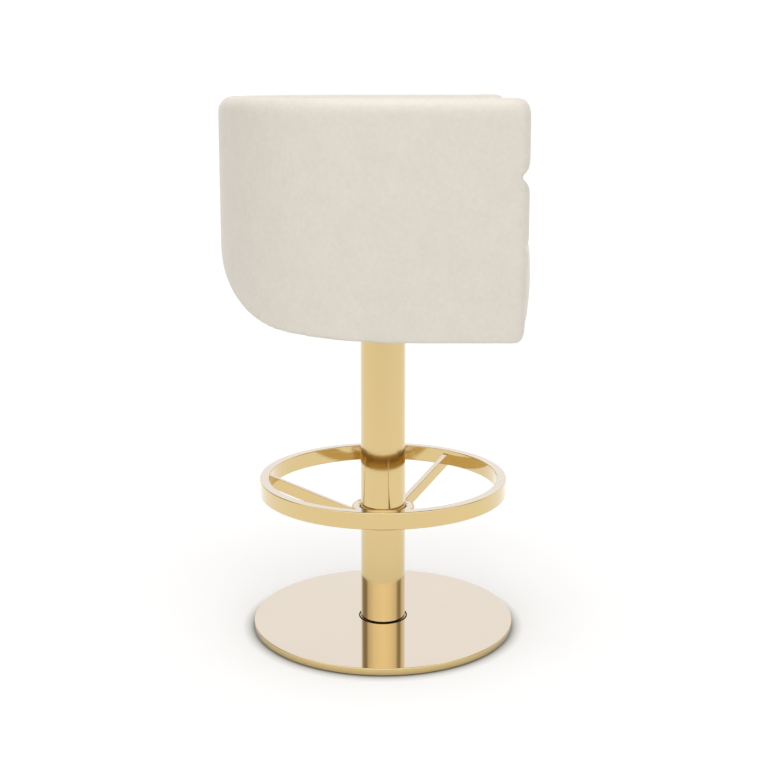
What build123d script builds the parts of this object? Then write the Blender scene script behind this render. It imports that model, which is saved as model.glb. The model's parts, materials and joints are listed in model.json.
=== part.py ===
from build123d import *
from math import cos, pi, radians, sin, sqrt, tan
import os

# A bar stool with a footrest: an upholstered tub seat that swivels on a brass column.
# Millimetres. The origin is the column's axis at the floor, +X is the seat's front, +Z is up.

# Base plate
PLATE_R = 225.0
PLATE_TOP = 13.0
PLATE_BEVEL = 1.2
PAD_R = 222.0
PAD_THICKNESS = 1.5
TRAY_SHEET = 1.5
WEIGHT_GAP = 0.3
FOOT_SEAT_Z = 8.0

# Column
COLUMN_R = 38.5
COLUMN_WALL = 2.0
COLUMN_TOP = 523.7
FOOT_RING_R = 40.0
GASKET_R = 41.6
FOOT_FLANGE_HEIGHT = 14.0
FOOT_FLANGE_BORE_R = 10.0
FOOT_BOLT_R = 4.0
FOOT_BOLT_CIRCLE_R = 22.0
FOOT_BOLT_HEAD_R = 7.0
FOOT_BOLT_HEAD_HEIGHT = 4.0
FOOT_BOLT_SOCKET_R = 2.5
FOOT_BOLT_SOCKET_DEPTH = 3.0
FOOT_BOLT_COUNT = 4
FOOT_BOLT_START_DEG = 45.0
BOLT_CLEARANCE = 0.2
HEAD_CLEARANCE = 0.3

# Footrest
RING_OUTER_R = 212.0
RING_INNER_R = 196.0
RING_BOTTOM = 240.6
RING_TOP = 268.6
RING_BEVEL = 1.2
HUB_R = 55.0
HUB_BORE_R = 40.0
HUB_BOTTOM = 186.0
HUB_TOP = 215.0
HUB_ROUND = 4.0
HUB_LOWER_BEVEL = 1.0
HUB_LIP = 2.5
LINER_RECESS = 1.0
SPOKE_WIDTH = 10.0
SPOKE_DEPTH = 20.0
SPOKE_SLOPE_DEG = 21.3
SPOKE_TOP_AT_RING = 262.0
SPOKE_ANGLES = (54.0, 174.0, 294.0)
SET_SCREW_TURN_DEG = 60.0
SET_SCREW_R = 3.0
SET_SCREW_Z = 200.0
SET_SCREW_LENGTH = 12.0
SET_SCREW_SOCKET_R = 1.6
SET_SCREW_SOCKET_DEPTH = 4.0

# Swivel
SPINDLE_R = 12.0
SPINDLE_BOTTOM = 449.0
SPINDLE_BEVEL = 1.5
BUSH_CLEARANCE = 0.05
RACE_CLEARANCE = 0.5
BUSH_OUTER_R = 16.0
BUSH_LENGTH = 20.0
HOUSING_BOTTOM = 458.0
HOUSING_FLANGE = 10.0
RACE_R = 34.0
RACE_THICKNESS = 3.5
BALL_R = 4.0
BALL_CIRCLE_R = 25.0
BALL_COUNT = 14
BALL_GAP = 0.3
CLIP_R = 17.0
CLIP_GROOVE_R = 10.5
CLIP_THICKNESS = 2.0
CLIP_OPENING = 6.0
CLIP_GAP = 0.8
SWIVEL_PLATE_SIZE = 160.0
SWIVEL_PLATE_THICKNESS = 6.0
SWIVEL_PLATE_CORNER = 12.0
PLATE_BOLT_SPACING = 120.0
PLATE_BOLT_R = 4.0
PLATE_BOLT_HEAD_R = 6.5
PLATE_BOLT_HEAD_HEIGHT = 5.0
TEE_NUT_R = 5.5
TEE_NUT_LENGTH = 12.0
TEE_NUT_FLANGE_R = 10.0
TEE_NUT_FLANGE = 1.5

# Tub
HALF_WIDTH = 236.0
BACK_CENTRE_X = -33.0
ARM_FRONT_X = 219.5
ARM_THICKNESS = 50.0
TUB_TOP = 913.0
TUB_BOTTOM = 544.5
BELLY_START_X = 60.0
BELLY_R = 1850.0
BACK_CORNER_R = 132.0
COVER_THICKNESS = 12.0
FRAME_THICKNESS = 15.0
FRAME_TOP = 885.0
ROLL_START_X = 196.0
UPPER_CREASE_Z = 796.0
LOWER_CREASE_Z = 690.0
APRON_FRONT_X = 239.0
APRON_BOTTOM = 546.0
CUSHION_FRONT_X = 233.0
CUSHION_SIDE_FRONT_X = 216.0
CUSHION_TOP = 768.0
CUSHION_GAP = 1.5
BOARD_THICKNESS = 18.0
BOARD_BACK_X = -110.0
PANEL_THICKNESS = 9.0
CLOTH_THICKNESS = 1.2
CLOTH_WINDOW = 172.0
CLOTH_EDGE = 8.0
CLOTH_SCREW_EDGE = 8.0
CLOTH_SCREW_R = 2.0
CLOTH_SCREW_HEAD_R = 4.5
CLOTH_SCREW_HEAD = 1.2
CLOTH_SCREW_LENGTH = 12.0
CLOTH_SCREW_SIDE_X = (-20.0, 55.0, 130.0)
CLOTH_SCREW_END_Y = (-100.0, 0.0, 100.0)

# Worked out from the dimensions above
COLUMN_BORE_R = COLUMN_R - COLUMN_WALL
HOUSING_TOP = COLUMN_TOP + HOUSING_FLANGE
LOWER_RACE_TOP = HOUSING_TOP + RACE_THICKNESS
UPPER_RACE_BOTTOM = LOWER_RACE_TOP + 2 * BALL_R + BALL_GAP
SWIVEL_PLATE_BOTTOM = UPPER_RACE_BOTTOM + RACE_THICKNESS
BOARD_BOTTOM = SWIVEL_PLATE_BOTTOM + SWIVEL_PLATE_THICKNESS
BOARD_TOP = BOARD_BOTTOM + BOARD_THICKNESS
FRAME_INSET = COVER_THICKNESS + FRAME_THICKNESS
BACK_X = BACK_CENTRE_X - HALF_WIDTH

# Tools that cut right through reach past the stool by these
PAST = 1.0
BIG = 1000.0


def disc(radius, z_low, z_high):
    """A round bar about the column's axis."""
    return Pos(0, 0, z_low) * extrude(Circle(radius), z_high - z_low)


def tube(outer, inner, z_low, z_high):
    """A hollow round bar about the column's axis."""
    return disc(outer, z_low, z_high) - disc(inner, z_low - PAST, z_high + PAST)


def around(count, radius, start_deg=0.0):
    """Places evenly spread on a circle about the column's axis."""
    step = 2 * pi / count
    turns = [radians(start_deg) + step * index for index in range(count)]
    return [Pos(radius * cos(turn), radius * sin(turn), 0) for turn in turns]


def foot_bolt_places():
    """The bolt places under the column."""
    return around(FOOT_BOLT_COUNT, FOOT_BOLT_CIRCLE_R, FOOT_BOLT_START_DEG)


def plate_corners():
    """The four bolt places of the swivel plate."""
    half = PLATE_BOLT_SPACING / 2
    return [Pos(x, y, 0) for x in (-half, half) for y in (-half, half)]


# ---------------------------------------------------------------- base


def floor_pad():
    """Thin non-slip pad, the only part that touches the floor."""
    return disc(PAD_R, 0, PAD_THICKNESS)


def base_weight():
    """Cast disc that fills the tray, with a seat for the column and its bolts."""
    weight = disc(PLATE_R - TRAY_SHEET - WEIGHT_GAP, PAD_THICKNESS, PLATE_TOP - TRAY_SHEET)
    weight -= disc(COLUMN_R, FOOT_SEAT_Z, PLATE_TOP)
    head_top = PAD_THICKNESS + FOOT_BOLT_HEAD_HEIGHT
    for place in foot_bolt_places():
        weight -= place * disc(FOOT_BOLT_R + BOLT_CLEARANCE, 0, PLATE_TOP)
        weight -= place * disc(FOOT_BOLT_HEAD_R + HEAD_CLEARANCE, 0, head_top)
    return weight


def base_cover():
    """Polished tray: flat top, folded skirt and a small bevel round the edge."""
    cover = disc(PLATE_R, PAD_THICKNESS, PLATE_TOP)
    rim = cover.faces().sort_by(Axis.Z)[-1].edges()
    cover = chamfer(rim, PLATE_BEVEL)
    cover -= disc(PLATE_R - TRAY_SHEET - WEIGHT_GAP, 0, PLATE_TOP - TRAY_SHEET)
    cover -= disc(GASKET_R, 0, PLATE_TOP + PAST)
    return cover


def foot_ring():
    """Narrow brass ring between the column and the seam."""
    return tube(FOOT_RING_R, COLUMN_R, PLATE_TOP - TRAY_SHEET, PLATE_TOP)


def foot_gasket():
    """Black seam ring, flush with the plate."""
    return tube(GASKET_R, FOOT_RING_R, PLATE_TOP - TRAY_SHEET, PLATE_TOP)


def column_tube():
    """Round tube, one diameter from the weight to the bearing housing."""
    return tube(COLUMN_R, COLUMN_BORE_R, FOOT_SEAT_Z, COLUMN_TOP)


def column_foot_flange():
    """Plug welded in the tube's lower end, tapped for the foot bolts."""
    flange = tube(COLUMN_BORE_R, FOOT_FLANGE_BORE_R, FOOT_SEAT_Z, FOOT_SEAT_Z + FOOT_FLANGE_HEIGHT)
    for place in foot_bolt_places():
        flange -= place * disc(FOOT_BOLT_R, 0, BIG)
    return flange


def foot_bolts():
    """Low-headed socket screws from under the weight into the column's plug."""
    head_top = PAD_THICKNESS + FOOT_BOLT_HEAD_HEIGHT
    bolt = disc(FOOT_BOLT_HEAD_R, PAD_THICKNESS, head_top)
    bolt += disc(FOOT_BOLT_R, head_top, FOOT_SEAT_Z + FOOT_FLANGE_HEIGHT - PAST)
    bolt -= extrude(RegularPolygon(FOOT_BOLT_SOCKET_R, 6), PAD_THICKNESS + FOOT_BOLT_SOCKET_DEPTH)
    return Compound([place * bolt for place in foot_bolt_places()])


# ---------------------------------------------------------------- footrest


def set_screw_turns():
    """The collar's screws stand midway between the spokes."""
    return [angle + SET_SCREW_TURN_DEG for angle in SPOKE_ANGLES]


def set_screw_hole(turn):
    """A radial bore through one side of the collar."""
    bore = Plane(origin=(HUB_BORE_R - PAST, 0, SET_SCREW_Z), z_dir=(1, 0, 0)) * Circle(SET_SCREW_R)
    return Rot(0, 0, turn) * extrude(bore, HUB_R - HUB_BORE_R + 2 * PAST)


def footrest_hub():
    """Collar with rounded edges and a shallow lip round the column."""
    hub = disc(HUB_R, HUB_BOTTOM, HUB_TOP)
    hub = fillet(hub.faces().sort_by(Axis.Z)[-1].edges(), HUB_ROUND)
    hub = chamfer(hub.faces().sort_by(Axis.Z)[0].edges(), HUB_LOWER_BEVEL)
    hub -= disc(HUB_BORE_R, HUB_BOTTOM - PAST, HUB_TOP + PAST)
    lip = Pos(0, 0, HUB_TOP - HUB_LIP / 2) * Cone(HUB_BORE_R, HUB_BORE_R + HUB_LIP, HUB_LIP)
    hub -= lip
    for turn in set_screw_turns():
        hub -= set_screw_hole(turn)
    return hub


def hub_liner():
    """Dark sleeve that keeps the collar off the column's finish."""
    return tube(HUB_BORE_R, COLUMN_R, HUB_BOTTOM + LINER_RECESS, HUB_TOP - HUB_LIP)


def hub_set_screws():
    """Headless socket screws that press the collar's liner on the column."""
    start = Plane(origin=(HUB_BORE_R, 0, SET_SCREW_Z), z_dir=(1, 0, 0))
    screw = extrude(start * Circle(SET_SCREW_R), SET_SCREW_LENGTH)
    socket_x = HUB_BORE_R + SET_SCREW_LENGTH - SET_SCREW_SOCKET_DEPTH
    socket = Plane(origin=(socket_x, 0, SET_SCREW_Z), z_dir=(1, 0, 0))
    screw -= extrude(socket * RegularPolygon(SET_SCREW_SOCKET_R, 6), SET_SCREW_SOCKET_DEPTH + PAST)
    return Compound([Rot(0, 0, turn) * screw for turn in set_screw_turns()])


def footrest_spoke(turn):
    """Flat bar on edge that slopes down from the ring to the collar, trimmed to both."""
    slope = tan(radians(SPOKE_SLOPE_DEG))
    depth = SPOKE_DEPTH / cos(radians(SPOKE_SLOPE_DEG))
    start = HUB_BORE_R
    end = RING_INNER_R + PAST
    low = SPOKE_TOP_AT_RING - slope * (RING_INNER_R - start)
    high = SPOKE_TOP_AT_RING + slope * (end - RING_INNER_R)
    outline = Polyline((start, low), (end, high), (end, high - depth), (start, low - depth), close=True)
    bar = extrude(Plane.XZ * make_face(outline), SPOKE_WIDTH / 2, both=True)
    bar -= disc(HUB_R, 0, BIG)
    bar &= disc(RING_INNER_R, 0, BIG)
    return Rot(0, 0, turn) * bar


def footrest_ring():
    """Flat bar rolled to a ring, its edges just broken."""
    ring = tube(RING_OUTER_R, RING_INNER_R, RING_BOTTOM, RING_TOP)
    rims = ring.edges().filter_by(GeomType.CIRCLE)
    return chamfer(rims, RING_BEVEL)


# ---------------------------------------------------------------- swivel


def bearing_housing():
    """Turned plug in the tube's upper end, with a flange on the tube."""
    housing = disc(COLUMN_BORE_R, HOUSING_BOTTOM, COLUMN_TOP)
    housing += disc(COLUMN_R, COLUMN_TOP, HOUSING_TOP)
    housing -= disc(BUSH_OUTER_R, HOUSING_BOTTOM - PAST, HOUSING_TOP + PAST)
    return housing


def bush(z_low):
    """Plain bush that guides the spindle."""
    return tube(BUSH_OUTER_R, SPINDLE_R + BUSH_CLEARANCE, z_low, z_low + BUSH_LENGTH)


def thrust_race_lower():
    """Hardened washer on the housing."""
    return tube(RACE_R, SPINDLE_R + RACE_CLEARANCE, HOUSING_TOP, LOWER_RACE_TOP)


def thrust_balls():
    """Balls that carry the seat."""
    ball = Pos(0, 0, LOWER_RACE_TOP + BALL_R) * Sphere(BALL_R)
    return Compound([place * ball for place in around(BALL_COUNT, BALL_CIRCLE_R)])


def thrust_race_upper():
    """Hardened washer under the swivel plate."""
    return tube(RACE_R, SPINDLE_R, UPPER_RACE_BOTTOM, SWIVEL_PLATE_BOTTOM)


def clip_top():
    """Height of the retaining ring's upper face."""
    return HOUSING_BOTTOM - CLIP_GAP


def spindle():
    """Shaft that turns in the bushes, grooved for the retaining ring."""
    shaft = disc(SPINDLE_R, SPINDLE_BOTTOM, BOARD_BOTTOM)
    shaft = chamfer(shaft.faces().sort_by(Axis.Z)[0].edges(), SPINDLE_BEVEL)
    shaft -= tube(SPINDLE_R + PAST, CLIP_GROOVE_R, clip_top() - CLIP_THICKNESS, clip_top())
    return shaft


def retaining_ring():
    """Spring ring in the spindle's groove, open on one side."""
    ring = tube(CLIP_R, CLIP_GROOVE_R, clip_top() - CLIP_THICKNESS, clip_top())
    return ring - Pos(CLIP_R, 0, clip_top()) * Box(CLIP_R, CLIP_OPENING, 5 * CLIP_THICKNESS)


def swivel_plate():
    """Square plate welded on the spindle."""
    outline = RectangleRounded(SWIVEL_PLATE_SIZE, SWIVEL_PLATE_SIZE, SWIVEL_PLATE_CORNER)
    plate = Pos(0, 0, SWIVEL_PLATE_BOTTOM) * extrude(outline, SWIVEL_PLATE_THICKNESS)
    plate -= disc(SPINDLE_R, 0, BIG)
    for place in plate_corners():
        plate -= place * disc(PLATE_BOLT_R + BOLT_CLEARANCE, 0, BIG)
    return plate


def plate_bolts():
    """Hexagon-headed bolts from under the plate."""
    head = Pos(0, 0, SWIVEL_PLATE_BOTTOM - PLATE_BOLT_HEAD_HEIGHT)
    bolt = head * extrude(RegularPolygon(PLATE_BOLT_HEAD_R, 6), PLATE_BOLT_HEAD_HEIGHT)
    bolt += disc(PLATE_BOLT_R, SWIVEL_PLATE_BOTTOM, BOARD_TOP)
    return Compound([place * bolt for place in plate_corners()])


def tee_nuts():
    """Flanged nuts let into the board from above."""
    nut = disc(TEE_NUT_R, BOARD_TOP - TEE_NUT_LENGTH, BOARD_TOP)
    nut += disc(TEE_NUT_FLANGE_R, BOARD_TOP, BOARD_TOP + TEE_NUT_FLANGE)
    nut -= disc(PLATE_BOLT_R, 0, BIG)
    return Compound([place * nut for place in plate_corners()])


# ---------------------------------------------------------------- tub


def tub_plan(inset, front_x):
    """The tub from above: a half circle at the back and two straight arms."""
    half = HALF_WIDTH - inset
    arms = Rectangle(front_x - BACK_CENTRE_X, 2 * half, align=(Align.MIN, Align.CENTER))
    return Pos(BACK_CENTRE_X, 0) * (Circle(half) + arms)


def tub_prism(inset, front_x, z_low, z_high):
    """The plan, moved in by inset, between two heights."""
    return Pos(0, 0, z_low) * extrude(tub_plan(inset, front_x), z_high - z_low)


def tub_wall(outer_inset, inner_inset, front_x, z_low, z_high):
    """A U-shaped wall between two insets."""
    core = tub_prism(inner_inset, front_x + PAST, z_low - PAST, z_high + PAST)
    return tub_prism(outer_inset, front_x, z_low, z_high) - core


def side_profile(inset):
    """All that lies inside the tub's side outline, moved in by inset.

    The outline runs back along the flat bottom, rises in a faint belly, turns the round
    lower corner and goes straight up the back.
    """
    belly_r = BELLY_R - inset
    corner_r = BACK_CORNER_R - inset
    belly_z = TUB_BOTTOM + BELLY_R
    corner_x = BACK_X + BACK_CORNER_R
    reach = BELLY_R - BACK_CORNER_R
    run = BELLY_START_X - corner_x
    drop = sqrt(reach ** 2 - run ** 2)
    corner_z = belly_z - drop
    tangent = (BELLY_START_X - belly_r * run / reach, belly_z - belly_r * drop / reach)
    low = belly_z - belly_r
    floor = Line((BIG, low), (BELLY_START_X, low))
    belly = RadiusArc((BELLY_START_X, low), tangent, belly_r)
    corner = RadiusArc(tangent, (corner_x - corner_r, corner_z), corner_r)
    rest = Polyline((corner_x - corner_r, corner_z), (corner_x - corner_r, BIG), (BIG, BIG), (BIG, low))
    face = make_face([floor, belly, corner, rest])
    return extrude(Plane.XZ * face, HALF_WIDTH + PAST, both=True)


def bowed_front(side_x, front_x):
    """All that lies behind a front edge that bows forward between the arms."""
    half = HALF_WIDTH - ARM_THICKNESS
    front = ThreePointArc((side_x, -half), (front_x, 0), (side_x, half))
    rest = Polyline((side_x, half), (-BIG, half), (-BIG, -half), (side_x, -half))
    return make_face([front, rest])


def ahead_of(x):
    """All that lies in front of x."""
    return Pos(x, 0, 0) * Box(BIG, BIG, 3 * BIG, align=(Align.MIN, Align.CENTER, Align.CENTER))


def seat_board():
    """Plywood floor of the tub, drilled for the tee nuts and the cloth's screws."""
    board = tub_prism(FRAME_INSET, ROLL_START_X, BOARD_BOTTOM, BOARD_TOP) & ahead_of(BOARD_BACK_X)
    for place in plate_corners():
        board -= place * disc(PLATE_BOLT_R + BOLT_CLEARANCE, 0, BIG)
        board -= place * disc(TEE_NUT_R, BOARD_TOP - TEE_NUT_LENGTH, BIG)
    for place in cloth_screw_places():
        board -= place * disc(CLOTH_SCREW_R, 0, BOARD_BOTTOM + CLOTH_SCREW_LENGTH)
    return board


def shell_frame():
    """Bent plywood wall inside the upholstery."""
    wall = tub_wall(COVER_THICKNESS, FRAME_INSET, ROLL_START_X, TUB_BOTTOM, FRAME_TOP)
    return wall & side_profile(COVER_THICKNESS)


def bottom_panel():
    """Thin ply bent round the lower back corner."""
    panel = side_profile(COVER_THICKNESS) - side_profile(COVER_THICKNESS + PANEL_THICKNESS)
    panel &= tub_prism(FRAME_INSET, 0, BOARD_BOTTOM, LOWER_CREASE_Z)
    return panel - ahead_of(BOARD_BACK_X)


def outer_cover():
    """Foam and velvet over the outside and the round lower corner, arm to arm."""
    cover = tub_prism(0, ROLL_START_X, TUB_BOTTOM, FRAME_TOP) & side_profile(0)
    core = tub_prism(COVER_THICKNESS, BIG, TUB_BOTTOM, BIG) & side_profile(COVER_THICKNESS)
    window = tub_prism(FRAME_INSET, BIG, 0, FRAME_TOP) & ahead_of(BOARD_BACK_X)
    return cover - core - window


def padded_band(z_low, z_high):
    """One padded band on the inside of the tub, wrapped round both arm ends."""
    band = tub_wall(FRAME_INSET, ARM_THICKNESS, ROLL_START_X, z_low, z_high)
    ends = tub_wall(0, ARM_THICKNESS, ARM_FRONT_X, z_low, z_high)
    return band + (ends & ahead_of(ROLL_START_X))


def upper_roll():
    """Top band, carried over the frame as the tub's rim."""
    rim = tub_wall(0, ARM_THICKNESS, ARM_FRONT_X, FRAME_TOP, TUB_TOP)
    return padded_band(UPPER_CREASE_Z, FRAME_TOP) + rim


def lower_roll():
    """Middle band, beside the cushion."""
    return padded_band(LOWER_CREASE_Z, UPPER_CREASE_Z)


def base_band():
    """Lowest band, from the board's top to the lower crease, with the arm ends to the bottom."""
    wall = tub_wall(FRAME_INSET, ARM_THICKNESS, ROLL_START_X, BOARD_TOP, LOWER_CREASE_Z)
    wall &= side_profile(COVER_THICKNESS + PANEL_THICKNESS)
    ends = tub_wall(0, ARM_THICKNESS, ARM_FRONT_X, TUB_BOTTOM, LOWER_CREASE_Z)
    return wall + (ends & ahead_of(ROLL_START_X))


def seat_deck():
    """Firm foam block on the board, under the cushion."""
    deck = tub_prism(ARM_THICKNESS, ROLL_START_X, BOARD_TOP, LOWER_CREASE_Z)
    deck &= side_profile(COVER_THICKNESS + PANEL_THICKNESS)
    for place in plate_corners():
        deck -= place * disc(TEE_NUT_FLANGE_R, 0, BOARD_TOP + TEE_NUT_FLANGE)
    return deck


def front_apron():
    """Padded front between the arms, bowed forward."""
    block = extrude(bowed_front(ARM_FRONT_X, APRON_FRONT_X), LOWER_CREASE_Z - APRON_BOTTOM)
    return Pos(0, 0, APRON_BOTTOM) * block & ahead_of(ROLL_START_X)


def seat_cushion():
    """Loose cushion that fills the tub between its arms."""
    height = CUSHION_TOP - LOWER_CREASE_Z
    cushion = tub_prism(ARM_THICKNESS + CUSHION_GAP, BIG, LOWER_CREASE_Z, CUSHION_TOP)
    front = extrude(bowed_front(CUSHION_SIDE_FRONT_X, CUSHION_FRONT_X), height)
    return cushion & Pos(0, 0, LOWER_CREASE_Z) * front


def cloth_plan():
    """The dust cloth from above, short of the frame and open round the swivel plate."""
    back = BOARD_BACK_X + CLOTH_EDGE
    front = ROLL_START_X - CLOTH_EDGE
    half = HALF_WIDTH - FRAME_INSET - CLOTH_EDGE
    plan = Pos((front + back) / 2, 0) * Rectangle(front - back, 2 * half)
    plan &= tub_plan(FRAME_INSET + CLOTH_EDGE, front)
    return plan - Rectangle(CLOTH_WINDOW, CLOTH_WINDOW)


def cloth_screw_places():
    """Screws along both sides of the cloth and across its front and back."""
    half = HALF_WIDTH - FRAME_INSET - CLOTH_EDGE - CLOTH_SCREW_EDGE
    back = BOARD_BACK_X + CLOTH_EDGE + CLOTH_SCREW_EDGE
    front = ROLL_START_X - CLOTH_EDGE - CLOTH_SCREW_EDGE
    sides = [Pos(x, side * half, 0) for x in CLOTH_SCREW_SIDE_X for side in (-1, 1)]
    ends = [Pos(x, y, 0) for x in (back, front) for y in CLOTH_SCREW_END_Y]
    return sides + ends


def bottom_cloth():
    """Dark dust cloth under the board."""
    cloth = Pos(0, 0, BOARD_BOTTOM - CLOTH_THICKNESS) * extrude(cloth_plan(), CLOTH_THICKNESS)
    for place in cloth_screw_places():
        cloth -= place * disc(CLOTH_SCREW_R, 0, BIG)
    return cloth


def cloth_screws():
    """Short pan-headed screws through the cloth into the board."""
    under = BOARD_BOTTOM - CLOTH_THICKNESS
    screw = disc(CLOTH_SCREW_HEAD_R, under - CLOTH_SCREW_HEAD, under)
    screw += disc(CLOTH_SCREW_R, under, BOARD_BOTTOM + CLOTH_SCREW_LENGTH)
    return Compound([place * screw for place in cloth_screw_places()])


NODES = {
    "floor_pad": floor_pad(),
    "base_weight": base_weight(),
    "base_cover": base_cover(),
    "foot_ring": foot_ring(),
    "foot_gasket": foot_gasket(),
    "column_tube": column_tube(),
    "column_foot_flange": column_foot_flange(),
    "foot_bolts": foot_bolts(),
    "footrest_hub": footrest_hub(),
    "hub_liner": hub_liner(),
    "hub_set_screws": hub_set_screws(),
    "footrest_ring": footrest_ring(),
    "bearing_housing": bearing_housing(),
    "lower_bush": bush(HOUSING_BOTTOM),
    "upper_bush": bush(HOUSING_TOP - BUSH_LENGTH),
    "thrust_race_lower": thrust_race_lower(),
    "thrust_balls": thrust_balls(),
    "thrust_race_upper": thrust_race_upper(),
    "spindle": spindle(),
    "retaining_ring": retaining_ring(),
    "swivel_plate": swivel_plate(),
    "plate_bolts": plate_bolts(),
    "tee_nuts": tee_nuts(),
    "seat_board": seat_board(),
    "shell_frame": shell_frame(),
    "bottom_panel": bottom_panel(),
    "outer_cover": outer_cover(),
    "upper_roll": upper_roll(),
    "lower_roll": lower_roll(),
    "base_band": base_band(),
    "seat_deck": seat_deck(),
    "front_apron": front_apron(),
    "seat_cushion": seat_cushion(),
    "bottom_cloth": bottom_cloth(),
    "cloth_screws": cloth_screws(),
}
for index, turn in enumerate(SPOKE_ANGLES, start=1):
    NODES[f"footrest_spoke_{index}"] = footrest_spoke(turn)

os.makedirs("parts", exist_ok=True)
for name, solid in NODES.items():
    export_step(solid, f"parts/{name}.step")
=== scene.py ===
"""Bar stool with a tub seat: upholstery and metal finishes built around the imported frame."""

import json
from math import cos, pi, radians, sin, sqrt

import bmesh
import bpy
from bpy.props import FloatProperty, PointerProperty, StringProperty
from mathutils import Euler, Matrix, Vector
from mathutils.bvhtree import BVHTree


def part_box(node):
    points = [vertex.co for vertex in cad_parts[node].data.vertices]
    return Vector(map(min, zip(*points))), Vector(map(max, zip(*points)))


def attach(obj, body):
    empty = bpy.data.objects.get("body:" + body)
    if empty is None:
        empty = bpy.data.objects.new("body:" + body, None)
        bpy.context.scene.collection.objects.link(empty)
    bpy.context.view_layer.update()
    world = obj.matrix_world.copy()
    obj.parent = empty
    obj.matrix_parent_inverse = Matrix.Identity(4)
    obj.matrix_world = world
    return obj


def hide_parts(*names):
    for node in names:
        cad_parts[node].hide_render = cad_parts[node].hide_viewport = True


bl_info = {
    "name": "Bar Stool Maker",
    "version": (1, 0, 0),
    "blender": (4, 5, 0),
    "location": "View3D > Sidebar > Bar Stool",
    "description": "Builds a tub-seat bar stool with a ring footrest",
    "category": "Add Mesh",
}

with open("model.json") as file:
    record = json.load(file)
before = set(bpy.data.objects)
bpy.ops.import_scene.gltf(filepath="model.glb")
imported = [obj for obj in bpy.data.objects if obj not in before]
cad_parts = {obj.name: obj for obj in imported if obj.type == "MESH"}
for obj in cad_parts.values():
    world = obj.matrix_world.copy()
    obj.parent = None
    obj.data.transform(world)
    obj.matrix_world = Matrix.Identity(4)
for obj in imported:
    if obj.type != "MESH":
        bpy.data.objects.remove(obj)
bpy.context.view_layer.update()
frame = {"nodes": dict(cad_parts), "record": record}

MM = 0.001


def node_radius(node):
    """Outer radius of a frame node that is round about the column."""
    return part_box(node)[1].x


def node_back(node):
    """How far back a frame node reaches."""
    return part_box(node)[0].x


TUB_LOW, TUB_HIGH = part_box("outer_cover")
ROLL_LOW, ROLL_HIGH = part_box("upper_roll")

# The footrest: flat bars on edge between the collar and the ring, at these angles from the seat's front.
SPOKE_TURNS = (54.0, 174.0, 294.0)
SPOKE_WIDTH = 10 * MM
SPOKE_DEPTH = 21.47 * MM
RING_WIDTH = 16 * MM

# Blocks that cut the tub's shapes reach past them by this much, and from this height to this height.
SPARE = 50 * MM
CUT_LOW = 500 * MM
CUT_HIGH = 800 * MM


# ------------------------------------------------------------------ settings


class TubSettings(bpy.types.PropertyGroup):
    """Sizes of the upholstered tub."""

    arm_thickness: FloatProperty(
        name="Arm thickness",
        description="From the outside of the arm to its inside",
        default=0.050,
        unit="LENGTH",
    )
    cover_thickness: FloatProperty(
        name="Cover thickness",
        description="Foam and velvet over the bent plywood",
        default=0.012,
        unit="LENGTH",
    )
    back_corner_radius: FloatProperty(
        name="Back corner",
        description="Radius of the round lower back corner, from the side",
        default=0.132,
        unit="LENGTH",
    )
    belly_radius: FloatProperty(
        name="Belly",
        description="Radius of the faint curve that joins the flat bottom to the back corner",
        default=1.850,
        unit="LENGTH",
    )
    belly_start: FloatProperty(
        name="Belly start",
        description="How far forward the faint curve begins",
        default=0.060,
        unit="LENGTH",
    )
    end_round: FloatProperty(
        name="Arm end round",
        description="Rounding of the padded bands where they end at the arm fronts",
        default=0.0185,
        unit="LENGTH",
    )
    crease_depth: FloatProperty(
        name="Crease depth",
        description="How far the inside of the tub pulls in between two bands",
        default=0.014,
        unit="LENGTH",
    )
    upper_notch: FloatProperty(
        name="Upper notch",
        description="How deep the upper crease cuts into the arm front",
        default=0.0180,
        unit="LENGTH",
    )
    lower_notch: FloatProperty(
        name="Lower notch",
        description="How deep the lower crease cuts into the arm front",
        default=0.0085,
        unit="LENGTH",
    )
    front_taper: FloatProperty(
        name="Front taper",
        description="How far the lowest band leans back at its foot",
        default=0.0045,
        unit="LENGTH",
    )


class CushionSettings(bpy.types.PropertyGroup):
    """Sizes of the seat cushion."""

    voxel: FloatProperty(
        name="Cloth grid",
        description="Edge length of the simulated cloth",
        default=0.006,
        unit="LENGTH",
    )
    pressure: FloatProperty(name="Filling", description="Air pressure that stands for the foam", default=4.0)
    swell: FloatProperty(
        name="Swell",
        description="Farthest that a point of the cushion may move as it fills",
        default=0.012,
        unit="LENGTH",
    )
    piping: FloatProperty(
        name="Piping",
        description="Radius of the piping round the cushion",
        default=0.0028,
        unit="LENGTH",
    )


class FinishSettings(bpy.types.PropertyGroup):
    """Colours of the stool, as sRGB hex values."""

    velvet: StringProperty(name="Velvet", description="Short-pile velvet", default="C7C1B7")
    brass: StringProperty(name="Brass", description="Brushed brass, upright faces", default="D7BD82")
    # Pale brass is a painted reflection of the bright room above, given to level faces; upright and level
    # faces are the same brass.
    level_painted_reflection: StringProperty(name="Pale brass", description="Polished level faces", default="DFD2C1")


class StageSettings(bpy.types.PropertyGroup):
    """Camera and light."""

    camera_distance: FloatProperty(
        name="Camera distance", description="From the column's axis", default=2.268, unit="LENGTH"
    )
    camera_height: FloatProperty(
        name="Camera height", description="Above the floor", default=0.943, unit="LENGTH"
    )
    camera_tilt: FloatProperty(
        name="Camera tilt",
        description="How far the camera looks down",
        default=radians(10.8),
        unit="ROTATION",
    )
    lens: FloatProperty(name="Lens", description="Focal length in millimetres", default=64.1)
    shift: FloatProperty(name="Shift", description="Vertical shift of the view", default=-0.06)


SETTINGS = (
    ("stool_tub", TubSettings),
    ("stool_cushion", CushionSettings),
    ("stool_finish", FinishSettings),
    ("stool_stage", StageSettings),
)


# ------------------------------------------------------------------ materials


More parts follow.
